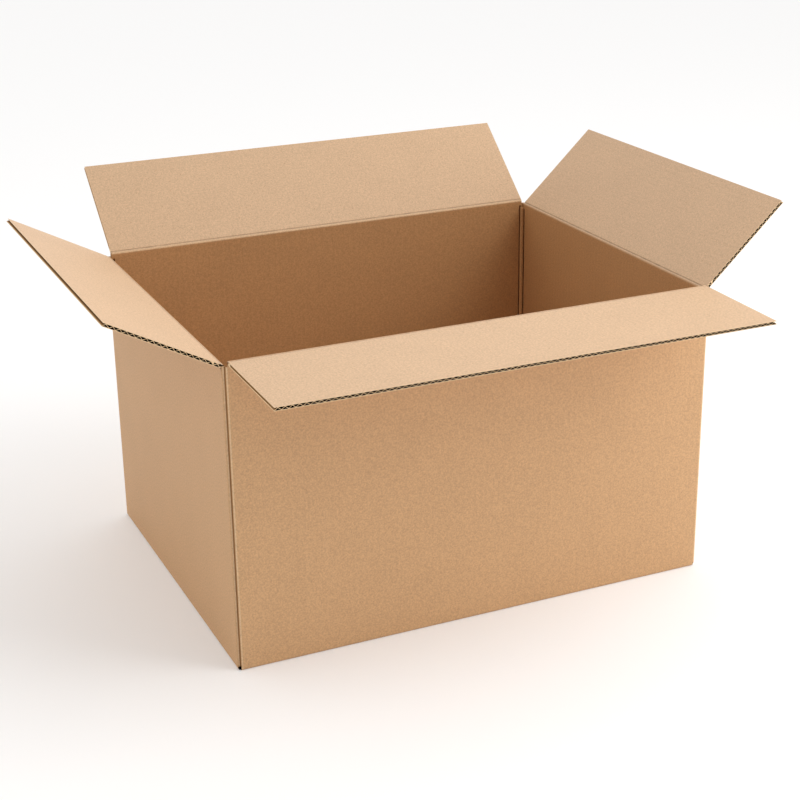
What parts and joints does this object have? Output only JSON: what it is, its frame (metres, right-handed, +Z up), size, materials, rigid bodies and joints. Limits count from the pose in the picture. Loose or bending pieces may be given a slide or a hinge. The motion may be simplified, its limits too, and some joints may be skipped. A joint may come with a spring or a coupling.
{
  "type": "cardboard box",
  "caption": "Open slotted cardboard box of corrugated board with its bottom closed and its top flaps folded outward.",
  "frame": {"origin": "middle of the underside of the closed bottom", "axes": "+X along the box's length, towards the wall away from the glued joint; +Z up, out of the open top; front long wall at -Y"},
  "size_m": [0.8222, 0.7019, 0.4542],
  "materials": {
    "box_board": "matte",
    "flap_board": "matte"
  },
  "bodies": {
    "box_body": {"box_body": "box_board"},
    "front_flap": {"front_flap": "flap_board"},
    "back_flap": {"back_flap": "flap_board"},
    "left_flap": {"left_flap": "flap_board"},
    "right_flap": {"right_flap": "flap_board"}
  },
  "joints": [
    {"name": "front_flap_hinge", "type": "hinge", "parent": "box_body", "child": "front_flap", "pos_m": [0, -0.2289, 0.362], "axis": [1, 0, 0], "range_deg": [-181, 59]},
    {"name": "back_flap_hinge", "type": "hinge", "parent": "box_body", "child": "back_flap", "pos_m": [0, 0.2289, 0.362], "axis": [-1, 0, 0], "range_deg": [-140, 100]},
    {"name": "left_flap_hinge", "type": "hinge", "parent": "box_body", "child": "left_flap", "pos_m": [-0.2994, 0, 0.3575], "axis": [0, -1, 0], "range_deg": [-152, 88]},
    {"name": "right_flap_hinge", "type": "hinge", "parent": "box_body", "child": "right_flap", "pos_m": [0.2994, 0, 0.3575], "axis": [0, 1, 0], "range_deg": [-137, 103]}
  ]
}
